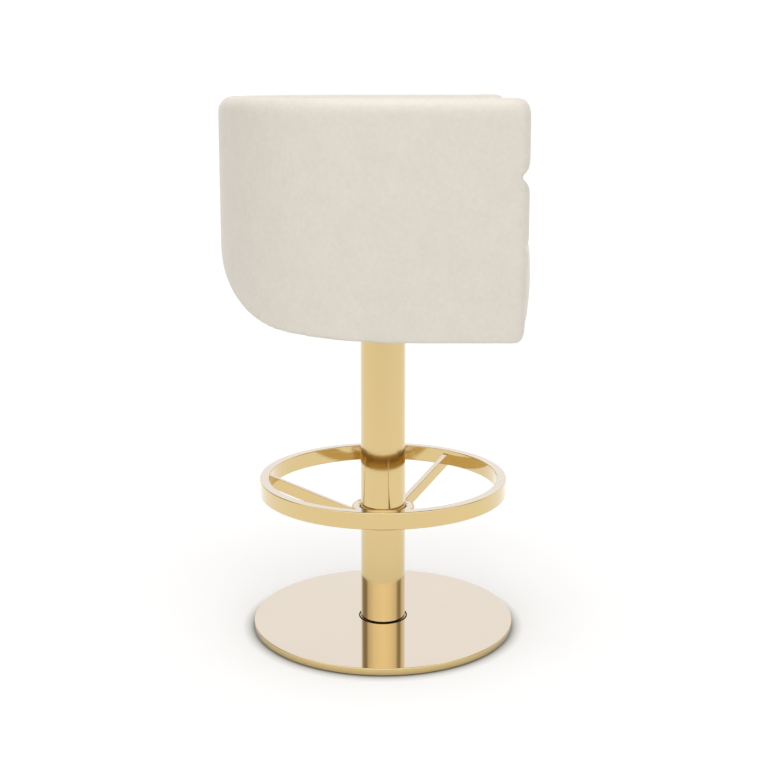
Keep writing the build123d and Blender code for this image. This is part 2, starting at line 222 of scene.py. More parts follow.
def linear(hex_colour):
    """An sRGB hex colour as linear red, green, blue and alpha."""
    values = [int(hex_colour[i : i + 2], 16) / 255 for i in (0, 2, 4)]
    return [v / 12.92 if v <= 0.04045 else ((v + 0.055) / 1.055) ** 2.4 for v in values] + [1.0]


def add_node(tree, kind, links=(), **settings):
    """Adds a node, sets its attributes and sockets, and links its sockets to other nodes' outputs."""
    node = tree.nodes.new(kind)
    for name, value in settings.items():
        if hasattr(node, name):
            setattr(node, name, value)
        else:
            node.inputs[name.replace("_", " ")].default_value = value
    for socket, source, output in links:
        tree.links.new(source.outputs[output], node.inputs[socket])
    return node


def new_material(name):
    """A material with an empty tree and its output node."""
    material = bpy.data.materials.new(name)
    material.use_nodes = True
    tree = material.node_tree
    tree.nodes.clear()
    return material, tree


def finish_material(tree, shader):
    """Joins the shader to the output."""
    output = tree.nodes.new("ShaderNodeOutputMaterial")
    tree.links.new(shader.outputs["BSDF"], output.inputs["Surface"])


def velvet_material(name, hex_colour):
    """Cotton velvet, woven with a short cut pile.

    The pile scatters light softly and shows a pale sheen where it turns away; brushing leaves
    faint lighter and darker patches a few centimetres across.
    """
    material, tree = new_material(name)
    place = add_node(tree, "ShaderNodeTexCoord")
    at = [("Vector", place, "Object")]
    patches = add_node(tree, "ShaderNodeTexNoise", at, Scale=1 / (38 * MM), Detail=4.0, Roughness=0.55)
    mottle = add_node(tree, "ShaderNodeTexNoise", at, Scale=1 / (7 * MM), Detail=3.0, Roughness=0.6)
    pile = add_node(tree, "ShaderNodeTexNoise", at, Scale=1 / (1.6 * MM), Detail=2.0, Roughness=0.7)
    base = linear(hex_colour)
    dark = [c * 0.955 for c in base[:3]] + [1.0]
    light = [c * 1.035 for c in base[:3]] + [1.0]
    both = add_node(
        tree,
        "ShaderNodeMix",
        [("A", patches, "Fac"), ("B", mottle, "Fac")],
        data_type="FLOAT",
        Factor=0.65,
    )
    colour = add_node(tree, "ShaderNodeValToRGB", [("Fac", both, "Result")])
    colour.color_ramp.elements[0].position = 0.34
    colour.color_ramp.elements[0].color = dark
    colour.color_ramp.elements[1].position = 0.66
    colour.color_ramp.elements[1].color = light
    soft = add_node(tree, "ShaderNodeBump", [("Height", mottle, "Fac")], Strength=0.10, Distance=1.5 * MM)
    fine = add_node(
        tree,
        "ShaderNodeBump",
        [("Height", pile, "Fac"), ("Normal", soft, "Normal")],
        Strength=0.30,
        Distance=0.4 * MM,
    )
    shader = add_node(
        tree,
        "ShaderNodeBsdfPrincipled",
        [("Base Color", colour, "Color"), ("Normal", fine, "Normal")],
        Roughness=0.47,
        Sheen_Weight=0.20,
        Sheen_Roughness=0.40,
    )
    shader.inputs["Sheen Tint"].default_value = linear("FFF8EC")
    shader.inputs["Specular IOR Level"].default_value = 0.5
    finish_material(tree, shader)
    return material


def brass_material(name, hex_colour, roughness, grain_mm, grain_depth, coat):
    """Brass-plated steel under lacquer, brushed along its length or polished.

    Brushing leaves fine lines that blur the reflection a little; polishing leaves almost none.
    """
    material, tree = new_material(name)
    place = add_node(tree, "ShaderNodeTexCoord")
    stretch = add_node(tree, "ShaderNodeMapping", [("Vector", place, "Object")])
    stretch.inputs["Scale"].default_value = (0.03, 0.03, 1.0)
    lines = add_node(
        tree,
        "ShaderNodeTexNoise",
        [("Vector", stretch, "Vector")],
        Scale=1 / (grain_mm * MM),
        Detail=3.0,
        Roughness=0.6,
    )
    at = [("Vector", place, "Object")]
    clouds = add_node(tree, "ShaderNodeTexNoise", at, Scale=1 / (60 * MM), Detail=2.0)
    base = linear(hex_colour)
    dark = [c * 0.95 for c in base[:3]] + [1.0]
    tone = add_node(tree, "ShaderNodeMix", [("Factor", lines, "Fac")], data_type="RGBA")
    tone.inputs[6].default_value = dark
    tone.inputs[7].default_value = base
    rough = add_node(tree, "ShaderNodeMapRange", [("Value", clouds, "Fac")])
    rough.inputs["To Min"].default_value = roughness * 0.85
    rough.inputs["To Max"].default_value = roughness * 1.15
    bump = add_node(
        tree, "ShaderNodeBump", [("Height", lines, "Fac")], Strength=grain_depth, Distance=0.05 * MM
    )
    shader = add_node(
        tree,
        "ShaderNodeBsdfPrincipled",
        [("Roughness", rough, "Result"), ("Normal", bump, "Normal")],
        Metallic=1.0,
        Coat_Weight=coat,
        Coat_Roughness=0.05,
    )
    tree.links.new(tone.outputs[2], shader.inputs["Base Color"])
    finish_material(tree, shader)
    return material


def plain_material(name, hex_colour, roughness, metallic, grain_mm, contrast, depth_mm, gloss=0.5):
    """A surface with one fine grain: turned steel, castings, rubber, nylon, bronze or foam."""
    material, tree = new_material(name)
    place = add_node(tree, "ShaderNodeTexCoord")
    at = [("Vector", place, "Object")]
    grain = add_node(tree, "ShaderNodeTexNoise", at, Scale=1 / (grain_mm * MM), Detail=4.0, Roughness=0.6)
    base = linear(hex_colour)
    colour = add_node(tree, "ShaderNodeValToRGB", [("Fac", grain, "Fac")])
    colour.color_ramp.elements[0].color = [c * (1 - contrast) for c in base[:3]] + [1.0]
    colour.color_ramp.elements[1].color = [min(1.0, c * (1 + contrast)) for c in base[:3]] + [1.0]
    bump = add_node(tree, "ShaderNodeBump", [("Height", grain, "Fac")], Strength=0.4, Distance=depth_mm * MM)
    shader = add_node(
        tree,
        "ShaderNodeBsdfPrincipled",
        [("Base Color", colour, "Color"), ("Normal", bump, "Normal")],
        Roughness=roughness,
        Metallic=metallic,
    )
    shader.inputs["Specular IOR Level"].default_value = gloss
    finish_material(tree, shader)
    return material


def plywood_material(name):
    """Birch plywood, sanded: pale wood with long soft grain."""
    material, tree = new_material(name)
    place = add_node(tree, "ShaderNodeTexCoord")
    stretch = add_node(tree, "ShaderNodeMapping", [("Vector", place, "Object")])
    stretch.inputs["Scale"].default_value = (0.12, 1.0, 1.0)
    grain = add_node(
        tree,
        "ShaderNodeTexNoise",
        [("Vector", stretch, "Vector")],
        Scale=1 / (5 * MM),
        Detail=6.0,
        Distortion=1.2,
    )
    colour = add_node(tree, "ShaderNodeValToRGB", [("Fac", grain, "Fac")])
    colour.color_ramp.elements[0].color = linear("A97F52")
    colour.color_ramp.elements[1].color = linear("DDB988")
    bump = add_node(tree, "ShaderNodeBump", [("Height", grain, "Fac")], Strength=0.2, Distance=0.2 * MM)
    shader = add_node(
        tree,
        "ShaderNodeBsdfPrincipled",
        [("Base Color", colour, "Color"), ("Normal", bump, "Normal")],
        Roughness=0.6,
    )
    finish_material(tree, shader)
    return material


def make_finishes(context):
    """Every material of the stool, by the name of its slot in the record."""
    finish = context.scene.stool_finish
    return {
        # cotton velvet upholstery
        "velvet": velvet_material("cotton_velvet_cream", finish.velvet),
        # brass-plated steel, brushed, on upright faces
        "brushed_brass": brass_material("brushed_brass_lacquered", finish.brass, 0.09, 1.2, 0.08, 1.0),
        # brass-plated steel, polished, on level faces; its pale colour is a painted reflection of the bright
        # room above, on the same brass as the upright faces
        "polished_brass": brass_material("polished_brass_painted_reflection", finish.level_painted_reflection, 0.04, 4.0, 0.01, 0.3),
        # moulded rubber
        "black_rubber": plain_material("moulded_rubber_black", "0C0C0C", 0.7, 0.0, 1.5, 0.2, 0.2, 0.1),
        # sand-cast iron
        "cast_iron": plain_material("cast_iron_grey", "3C3C3E", 0.65, 0.8, 2.5, 0.2, 0.5),
        # moulded nylon
        "black_nylon": plain_material("moulded_nylon_black", "181818", 0.45, 0.0, 1.0, 0.1, 0.05),
        # zinc-plated steel fasteners
        "zinc_steel": plain_material("zinc_plated_steel", "B9BBBC", 0.32, 1.0, 3.0, 0.08, 0.05),
        # turned steel
        "machined_steel": plain_material("turned_steel", "9A9B9D", 0.28, 1.0, 1.0, 0.08, 0.03),
        # sintered bronze bushes
        "bronze_bush": plain_material("sintered_bronze", "A87B4B", 0.4, 1.0, 0.8, 0.12, 0.05),
        # birch plywood
        "plywood": plywood_material("birch_plywood"),
        # open-cell upholstery foam
        "seat_foam": plain_material("open_cell_foam", "E8DDB5", 0.95, 0.0, 2.0, 0.06, 1.0),
        # spunbond dust cloth
        "dust_cloth": plain_material("spunbond_cloth_black", "1C1C1E", 0.9, 0.0, 1.2, 0.25, 0.3),
    }


def finish_of(slot):
    """The material made for a slot of the record."""
    return bpy.data.materials[bpy.context.scene["stool_finishes"][slot]]


# ------------------------------------------------------------------ mesh helpers


def close_mesh(bm, merge=0.00002):
    """Merges doubles and points the faces outwards."""
    bmesh.ops.remove_doubles(bm, verts=bm.verts, dist=merge)
    bm.normal_update()
    bmesh.ops.recalc_face_normals(bm, faces=bm.faces)
    bm.normal_update()


def make_piece(name, bm, slots, body, replaces=()):
    """Turns a bmesh into a smooth-shaded piece that rides on a body."""
    mesh = bpy.data.meshes.new(name)
    bm.to_mesh(mesh)
    bm.free()
    return piece_from_mesh(name, mesh, slots, body, replaces)


def piece_from_mesh(name, mesh, slots, body, replaces=()):
    """Gives a mesh its object, materials, body and the nodes that it stands for."""
    piece = bpy.data.objects.new(name, mesh)
    bpy.context.scene.collection.objects.link(piece)
    if mesh.materials:
        mesh.materials.clear()
    for slot in slots:
        mesh.materials.append(finish_of(slot))
    mesh.shade_smooth()
    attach(piece, body)
    if replaces:
        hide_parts(*replaces)
    return piece


def evaluated_mesh(piece):
    """The mesh of an object with its modifiers applied."""
    graph = bpy.context.evaluated_depsgraph_get()
    return bpy.data.meshes.new_from_object(piece.evaluated_get(graph))


def apply_modifiers(piece):
    """Bakes the modifiers into the piece's mesh."""
    mesh = evaluated_mesh(piece)
    piece.modifiers.clear()
    piece.data = mesh
    return piece


def scratch_object(name, bm):
    """An object used only while a piece is being made."""
    mesh = bpy.data.meshes.new(name)
    bm.to_mesh(mesh)
    bm.free()
    made = bpy.data.objects.new(name, mesh)
    bpy.context.scene.collection.objects.link(made)
    return made


def discard(*objects):
    """Removes scratch objects."""
    for thing in objects:
        bpy.data.objects.remove(thing)


def spun_ring(bm, outline, steps=160):
    """Spins a closed outline of (radius, height) points about the column's axis."""
    verts = [bm.verts.new((radius, 0, height)) for radius, height in outline]
    edges = [bm.edges.new((verts[i - 1], verts[i])) for i in range(len(verts))]
    bmesh.ops.spin(
        bm, geom=verts + edges, cent=(0, 0, 0), axis=(0, 0, 1), angle=2 * pi, steps=steps, use_merge=True
    )
    close_mesh(bm)


def rounded_outline(corners, rounds, steps=4):
    """A closed outline whose corners are replaced by small arcs of the given radii."""
    outline = []
    count = len(corners)
    for i, (corner, radius) in enumerate(zip(corners, rounds)):
        point = Vector(corner)
        before = (Vector(corners[i - 1]) - point).normalized()
        after = (Vector(corners[(i + 1) % count]) - point).normalized()
        if radius <= 0:
            outline.append(tuple(point))
            continue
        half_turn = before.angle(after) / 2
        reach = radius / sin(half_turn)
        centre = point + (before + after).normalized() * reach
        foot = radius / (sin(half_turn) / cos(half_turn)) if half_turn < pi / 2 else 0
        start = point + before * foot - centre
        end = point + after * foot - centre
        for k in range(steps + 1):
            spoke = start.lerp(end, k / steps).normalized() * radius
            outline.append(tuple(centre + spoke))
    return outline


# ------------------------------------------------------------------ tub geometry


def tub_frame(context):
    """The tub's driving lengths, from the frame."""
    half = TUB_HIGH.y
    centre_x = TUB_LOW.x + half
    return half, centre_x


def tub_section(bm, points, front_x, half, centre_x, arm_steps=10, turn_steps=48):
    """Sweeps a closed section from one arm's front round the back to the other arm's front.

    Points are (inset from the outer face, height).
    """
    verts = [bm.verts.new((front_x, -(half - inset), height)) for inset, height in points]
    loop = [bm.edges.new((verts[i - 1], verts[i])) for i in range(len(verts))]
    first = list(loop)
    step = Vector(((centre_x - front_x) / arm_steps, 0, 0))
    for _ in range(arm_steps):
        loop = extrude_loop(bm, loop, step)
    made = bmesh.ops.spin(
        bm,
        geom=loop + list({v for e in loop for v in e.verts}),
        cent=(centre_x, 0, 0),
        axis=(0, 0, 1),
        angle=-pi,
        steps=turn_steps,
    )
    loop = [g for g in made["geom_last"] if isinstance(g, bmesh.types.BMEdge)]
    for _ in range(arm_steps):
        loop = extrude_loop(bm, loop, -step)
    return first, loop


def extrude_loop(bm, loop, step):
    """Extrudes a loop of edges by a step and returns the new loop."""
    made = bmesh.ops.extrude_edge_only(bm, edges=loop)["geom"]
    verts = [g for g in made if isinstance(g, bmesh.types.BMVert)]
    bmesh.ops.translate(bm, verts=verts, vec=step)
    own = set(verts)
    return [g for g in made if isinstance(g, bmesh.types.BMEdge) and all(v in own for v in g.verts)]


def fill_loop(bm, loop):
    """Closes a loop of edges with one face."""
    return bmesh.ops.contextual_create(bm, geom=loop)["faces"]


def profile_solid(context, inset, half):
    """All that lies inside the tub's side outline: flat bottom, faint belly and round back corner."""
    tub = context.scene.stool_tub
    corner_x = TUB_LOW.x + tub.back_corner_radius
    reach = tub.belly_radius - tub.back_corner_radius
    run = tub.belly_start - corner_x
    drop = sqrt(reach**2 - run**2)
    belly_z = TUB_LOW.z + tub.belly_radius
    corner_z = belly_z - drop
    belly_turn = pi / 2 - Vector((run, drop)).angle(Vector((1, 0)))
    bm = bmesh.new()
    start = bm.verts.new((tub.belly_start, -half, TUB_LOW.z + inset))
    bm.verts.new((1.0, -half, TUB_LOW.z + inset))
    bm.verts.ensure_lookup_table()
    bm.edges.new((bm.verts[1], start))
    swept = bmesh.ops.spin(
        bm, geom=[start], cent=(tub.belly_start, 0, belly_z), axis=(0, 1, 0), angle=belly_turn, steps=10
    )
    tangent = [g for g in swept["geom_last"] if isinstance(g, bmesh.types.BMVert)]
    swept = bmesh.ops.spin(
        bm, geom=tangent, cent=(corner_x, 0, corner_z), axis=(0, 1, 0), angle=pi / 2 - belly_turn, steps=28
    )
    back = [g for g in swept["geom_last"] if isinstance(g, bmesh.types.BMVert)][0]
    top_back = bm.verts.new((back.co.x, -half, 1.2))
    top_front = bm.verts.new((1.0, -half, 1.2))
    bm.edges.new((back, top_back))
    bm.edges.new((top_back, top_front))
    bm.verts.ensure_lookup_table()
    bm.edges.new((top_front, bm.verts[1]))
    face = bmesh.ops.contextual_create(bm, geom=list(bm.edges))["faces"]
    made = bmesh.ops.extrude_face_region(bm, geom=face)["geom"]
    verts = [g for g in made if isinstance(g, bmesh.types.BMVert)]
    bmesh.ops.translate(bm, verts=verts, vec=(0, 2 * half, 0))
    close_mesh(bm)
    return scratch_object("side_profile", bm)


def combine(target, tool, operation):
    """Applies a boolean between two closed meshes to the first."""
    modifier = target.modifiers.new("combine", "BOOLEAN")
    modifier.object = tool
    modifier.operation = operation
    modifier.solver = "EXACT"
    return apply_modifiers(target)


def tub_block(name, half, centre_x, front_x, low, high):
    """A solid block with the tub's plan."""
    bm = bmesh.new()
    bmesh.ops.create_circle(bm, segments=128, radius=half, cap_ends=True)
    bmesh.ops.translate(bm, verts=bm.verts, vec=(centre_x, 0, low))
    cut = bmesh.ops.bisect_plane(
        bm,
        geom=bm.verts[:] + bm.edges[:] + bm.faces[:],
        plane_co=(centre_x, 0, 0),
        plane_no=(1, 0, 0),
        clear_outer=True,
    )
    rim = [g for g in cut["geom_cut"] if isinstance(g, bmesh.types.BMEdge)]
    made = bmesh.ops.extrude_edge_only(bm, edges=rim)["geom"]
    verts = [g for g in made if isinstance(g, bmesh.types.BMVert)]
    bmesh.ops.translate(bm, verts=verts, vec=(front_x - centre_x, 0, 0))
    made = bmesh.ops.extrude_face_region(bm, geom=bm.faces[:])["geom"]
    verts = [g for g in made if isinstance(g, bmesh.types.BMVert)]
    bmesh.ops.translate(bm, verts=verts, vec=(0, 0, high - low))
    close_mesh(bm)
    return scratch_object(name, bm)


def side_bulge(low, high, crease, crown, power=3.4, steps=16):
    """Inner outline of a padded band, from its upper crease down to its lower one."""
    points = []
    for k in range(steps + 1):
        along = -cos(pi * k / steps)
        out = (1 - abs(along) ** power) ** (1 / power)
        points.append((crease + (crown - crease) * out, high - (high - low) * (along + 1) / 2))
    return points


def rim_bulge(low, spring, crease, crown):
    """Inner outline of the top band, from just below its round rim down to its crease."""
    outline = side_bulge(low, spring + 50 * MM, crease, crown)
    return [p for p in outline if p[1] < spring - 4 * MM]


def arm_end(bm, outline, half, front_x, radius, side, tall=1.0, steps=7):
    """A padded end as thick as the arm, whose edges round off forward; side is -1 or 1 for the two arms.

    Its root lies inside the cover and the bands; tall stretches the rounding up and down.
    """
    root = 30 * MM
    verts = [bm.verts.new((front_x - root, side * (half - inset), height)) for inset, height in outline]
    loop = [bm.edges.new((verts[i - 1], verts[i])) for i in range(len(verts))]
    fill_loop(bm, loop)
    low, high = loop_box(loop)
    centre = (low + high) / 2
    reach = (high - low) / 2
    loop = extrude_loop(bm, loop, Vector((root, 0, 0)))
    slim = reach.copy()
    for k in range(steps):
        turn = pi / 2 * (k + 1) / steps
        forward = front_x + radius * sin(turn)
        shrink = radius * (1 - cos(turn))
        loop = extrude_loop(bm, loop, Vector((forward - loop_box(loop)[0].x, 0, 0)))
        around = list({v for e in loop for v in e.verts})
        across = (reach.y - shrink) / slim.y
        upward = (reach.z - shrink * tall) / slim.z
        bmesh.ops.scale(bm, verts=around, vec=(1, across, upward), space=Matrix.Translation(-centre))
        slim = Vector((0, reach.y - shrink, reach.z - shrink * tall))
    fill_loop(bm, loop)
    bmesh.ops.recalc_face_normals(bm, faces=bm.faces)


def loop_box(loop):
    """The lowest and highest corner of a loop of edges."""
    points = [v.co for e in loop for v in e.verts]
    low = Vector([min(p[axis] for p in points) for axis in range(3)])
    high = Vector([max(p[axis] for p in points) for axis in range(3)])
    return low, high


# ------------------------------------------------------------------ operators: metal


class STOOL_OT_finishes(bpy.types.Operator):
    """Make the materials and give every frame node its own"""

    bl_idname = "stool.finishes"
    bl_label = "Finishes"

    def execute(self, context):
        made = make_finishes(context)
        context.scene["stool_finishes"] = {slot: material.name for slot, material in made.items()}
        for subpart in frame["record"]["subparts"]:
            node = frame["nodes"][subpart["node"]]
            for place in node.material_slots:
                place.material = made[subpart["material_slot"]]
        return {"FINISHED"}


class STOOL_OT_base_plate(bpy.types.Operator):
    """Spin the brass tray of the base, with a softened rim"""

    bl_idname = "stool.base_plate"
    bl_label = "Base plate"

    def execute(self, context):
        low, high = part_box("base_cover")
        hole = node_radius("foot_gasket") + 0.5 * MM
        sheet = 1.5 * MM
        bm = bmesh.new()
        corners = [
            (hole, high.z),
            (high.x, high.z),
            (high.x, low.z),
            (high.x - sheet, low.z),
            (high.x - sheet, high.z - sheet),
            (hole, high.z - sheet),
        ]
        outline = rounded_outline(corners, (0, 1.4 * MM, 0.4 * MM, 0.4 * MM, 0, 0), steps=6)
        spun_ring(bm, outline, steps=256)
        # Upward faces at the top take the pale brass: a painted reflection of the bright room above, on the
        # same metal.
        for face in bm.faces:
            level = face.normal.z > 0.9 and face.calc_center_median().z > high.z - 0.2 * MM
            face.material_index = 1 if level else 0
        piece = make_piece("base_tray", bm, ("brushed_brass", "polished_brass"), "base", ["base_cover"])
        true_shading(piece)
        self.gasket(hole)
        return {"FINISHED"}

    def gasket(self, outside):
        """The black rubber ring round the column's foot, which stands a little proud of the plate."""
        low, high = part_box("foot_gasket")
        inside = node_radius("foot_ring")
        top = high.z + 0.9 * MM
        corners = [(inside, low.z), (outside, low.z), (outside, top), (inside, top)]
        bm = bmesh.new()
        spun_ring(bm, rounded_outline(corners, (0, 0, 0.3 * MM, 0.3 * MM)), steps=192)
        make_piece("gasket_ring", bm, ("black_rubber",), "base", ["foot_gasket"])


class STOOL_OT_column(bpy.types.Operator):
    """Spin the round brass column"""

    bl_idname = "stool.column"
    bl_label = "Column"

    def execute(self, context):
        low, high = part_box("column_tube")
        wall = 2 * MM
        bm = bmesh.new()
        corners = [(high.x, low.z), (high.x, high.z), (high.x - wall, high.z), (high.x - wall, low.z)]
        spun_ring(bm, rounded_outline(corners, (0, 0.4 * MM, 0, 0)), steps=192)
        true_shading(make_piece("column", bm, ("brushed_brass",), "base", ["column_tube"]))
        return {"FINISHED"}


class STOOL_OT_footrest(bpy.types.Operator):
    """Make the footrest ring, its collar and its sloping spokes"""

    bl_idname = "stool.footrest"
    bl_label = "Footrest"

    def execute(self, context):
        self.ring()
        self.collar()
        for index, turn in enumerate(SPOKE_TURNS, start=1):
            self.spoke(index, turn)
        return {"FINISHED"}

    def ring(self):
        low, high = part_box("footrest_ring")
        inner = high.x - RING_WIDTH
        corners = [(inner, high.z), (high.x, high.z), (high.x, low.z), (inner, low.z)]
        bm = bmesh.new()
        spun_ring(bm, rounded_outline(corners, (1.6 * MM,) * 4, steps=6), steps=256)
        # Level faces take the pale brass: a painted reflection of the bright room, on the same metal as the
        # upright faces.
        for face in bm.faces:
            face.material_index = 1 if abs(face.normal.z) > 0.85 else 0
        piece = make_piece("ring_bar", bm, ("brushed_brass", "polished_brass"), "base", ["footrest_ring"])
        true_shading(piece)

    def collar(self):
        low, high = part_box("footrest_hub")
        radius = high.x
        bore = node_radius("hub_liner")
        lip = 2.5 * MM
        corners = [
            (bore + lip, high.z),
            (radius, high.z),
            (radius, low.z),
            (bore, low.z),
            (bore, high.z - lip),
        ]
        bm = bmesh.new()
        outline = rounded_outline(corners, (0.8 * MM, 5 * MM, 1 * MM, 0, 0.3 * MM), steps=8)
        spun_ring(bm, outline, steps=160)
        # Upward faces take the pale brass: a painted reflection of the bright room above, on the same metal.
        for face in bm.faces:
            face.material_index = 1 if face.normal.z > 0.85 else 0
        finishes = ("brushed_brass", "polished_brass")
        true_shading(make_piece("footrest_collar", bm, finishes, "base", ["footrest_hub"]))

    def spoke(self, index, turn):
        """A flat bar on edge: a cube stretched between the collar and the ring, with softened edges."""
        node = f"footrest_spoke_{index}"
        low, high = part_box(node)
        inner = node_radius("footrest_hub") - 0.5 * MM
        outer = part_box("footrest_ring")[1].x - RING_WIDTH + 0.4 * MM
        rise = high.z - low.z
        depth = SPOKE_DEPTH
        slope = (rise - depth) / (outer - inner)
        bm = bmesh.new()
        bmesh.ops.create_cube(bm, size=1.0)
        bmesh.ops.scale(bm, verts=bm.verts, vec=(outer - inner, SPOKE_WIDTH, depth))
        bmesh.ops.translate(bm, verts=bm.verts, vec=((outer + inner) / 2, 0, 0))
        for vert in bm.verts:
            vert.co.z += high.z - depth / 2 - slope * (outer - vert.co.x)
        long_edges = [e for e in bm.edges if abs(e.verts[0].co.x - e.verts[1].co.x) > 0.05]
        bmesh.ops.bevel(
            bm,
            geom=long_edges,
            offset=0.9 * MM,
            segments=3,
            affect="EDGES",
            profile=0.5,
            material=-1,
        )
        around = Matrix.Rotation(radians(turn), 3, "Z")
        bmesh.ops.rotate(bm, verts=bm.verts, cent=(0, 0, 0), matrix=around)
        close_mesh(bm)
        # Upward faces take the pale brass: a painted reflection of the bright room above, on the same metal.
        for face in bm.faces:
            face.material_index = 1 if face.normal.z > 0.8 else 0
        piece = make_piece(f"spoke_{index}", bm, ("brushed_brass", "polished_brass"), "base", [node])
        true_shading(piece)


def true_shading(piece, angle=35):
    """Flat faces shade flat and only the softened edges between them turn."""
    piece.data.set_sharp_from_angle(angle=radians(angle))
    weighted = piece.modifiers.new("true_normals", "WEIGHTED_NORMAL")
    weighted.keep_sharp = True
    weighted.weight = 100


# ------------------------------------------------------------------ operators: upholstery


class STOOL_OT_outer_cover(bpy.types.Operator):
    """Make the smooth velvet outside of the tub, with half of its round rim"""

    bl_idname = "stool.outer_cover"
    bl_label = "Outer cover"

    def execute(self, context):
        tub = context.scene.stool_tub
        half, centre_x = tub_frame(context)
        thick = tub.cover_thickness
        rim_r = tub.arm_thickness / 2
        top = ROLL_HIGH.z
        spring = top - rim_r
        front = ROLL_HIGH.x - tub.end_round + 1 * MM
        inner = rim_r - 0.4 * MM
        turns = [pi / 2 * k / 10 for k in range(10)]
        rim = [(rim_r - rim_r * cos(t), spring + rim_r * sin(t)) for t in turns]
        outline = [(0, CUT_LOW)] + rim
        outline += [(inner, top), (inner, spring), (thick, spring), (thick, CUT_LOW)]
        bm = bmesh.new()
        first, last = tub_section(bm, outline, front, half, centre_x, 12, 64)
        fill_loop(bm, first)
        fill_loop(bm, last)
        close_mesh(bm)
        wall = scratch_object("wall", bm)
        profile = profile_solid(context, 0, half + SPARE)
        wall = combine(wall, profile, "INTERSECT")
        under = tub_block("under", half - 4 * MM, centre_x, front, CUT_LOW, CUT_HIGH)
        under = combine(under, profile, "INTERSECT")
        inner_profile = profile_solid(context, thick, half + SPARE)
        under = combine(under, inner_profile, "DIFFERENCE")
        ahead = bmesh.new()
        bmesh.ops.create_cube(ahead, size=1.0)
        bmesh.ops.translate(ahead, verts=ahead.verts, vec=(0.5 + node_back("seat_board"), 0, 0.6))
        window = scratch_object("window", ahead)
        under = combine(under, window, "DIFFERENCE")
        bm = bmesh.new()
        bm.from_mesh(wall.data)
        bm.from_mesh(under.data)
        discard(wall, profile, under, inner_profile, window)
        for side in (-1, 1):
            self.arm_front(context, bm, half, front, side)
        whole = scratch_object("whole", bm)
        skin(whole, 3.5 * MM)
        soften(whole, 6)
        mesh = whole.data
        discard(whole)
        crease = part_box("base_band")[1].z
        for vert in mesh.vertices:
            if vert.co.x > front and vert.co.z < crease:
                lean = (crease - vert.co.z) / (crease - TUB_LOW.z)
                vert.co.x -= tub.front_taper * lean * (vert.co.x - front) / tub.end_round
        piece = piece_from_mesh("outer_velvet", mesh, ("velvet",), "seat", ["outer_cover"])
        return {"FINISHED"}

    def arm_front(self, context, bm, half, front, side):
        """The three padded ends of one arm, and the shallower bridges that limit the notches between them."""
        tub = context.scene.stool_tub
        arm = tub.arm_thickness
        rim_r = arm / 2
        spring = ROLL_HIGH.z - rim_r
        upper_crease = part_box("upper_roll")[0].z
        lower_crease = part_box("lower_roll")[0].z
        inner = arm - 1 * MM
        crease = inner - tub.crease_depth
        turns = [pi * k / 20 for k in range(20)]
        dome = [(rim_r - rim_r * cos(t), spring + (rim_r - 0.2 * MM) * sin(t)) for t in turns]
        parting = 1.8 * MM
        gap = 0.3 * MM
        tall = 1.2
        foot = upper_crease + parting
        inside = rim_bulge(foot, spring, crease, inner)
        arm_end(bm, [(0, foot)] + dome + inside, half, front, tub.end_round, side, tall)
        for low, high in ((lower_crease + gap, upper_crease - parting), (TUB_LOW.z, lower_crease - gap)):
            outline = [(0, low), (0, high)] + side_bulge(low, high, crease, inner)
            arm_end(bm, outline, half, front, tub.end_round, side, tall)
        self.tight_crease(bm, lower_crease, upper_crease, crease, inner, half, front, side)
        for height, depth in ((upper_crease, tub.upper_notch), (lower_crease, tub.lower_notch)):
            reach = 16 * MM
            outline = box_outline(3 * MM, crease - 1 * MM, height - reach, height + reach)
            arm_end(bm, outline, half, front, tub.end_round - depth, side)

    def tight_crease(self, bm, lower_crease, upper_crease, crease, inner, half, front, side):
        """Fills the bands out beside the lower crease, which leaves a narrow nick there."""
        radius = bpy.context.scene.stool_tub.end_round
        gap = 1.2 * MM
        tall = 0.42
        low, high = lower_crease + gap, upper_crease
        middle = (low + high) / 2
        bulge = [p for p in side_bulge(low, high, crease, inner) if p[1] <= middle]
        arm_end(bm, [(0, low), (0, middle)] + bulge, half, front, radius, side, tall)
        low, high = TUB_LOW.z, lower_crease - gap
        middle = (low + high) / 2
        bulge = [p for p in side_bulge(low, high, crease, inner) if p[1] >= middle]
        arm_end(bm, [(0, middle), (0, high)] + bulge, half, front, radius, side, tall)


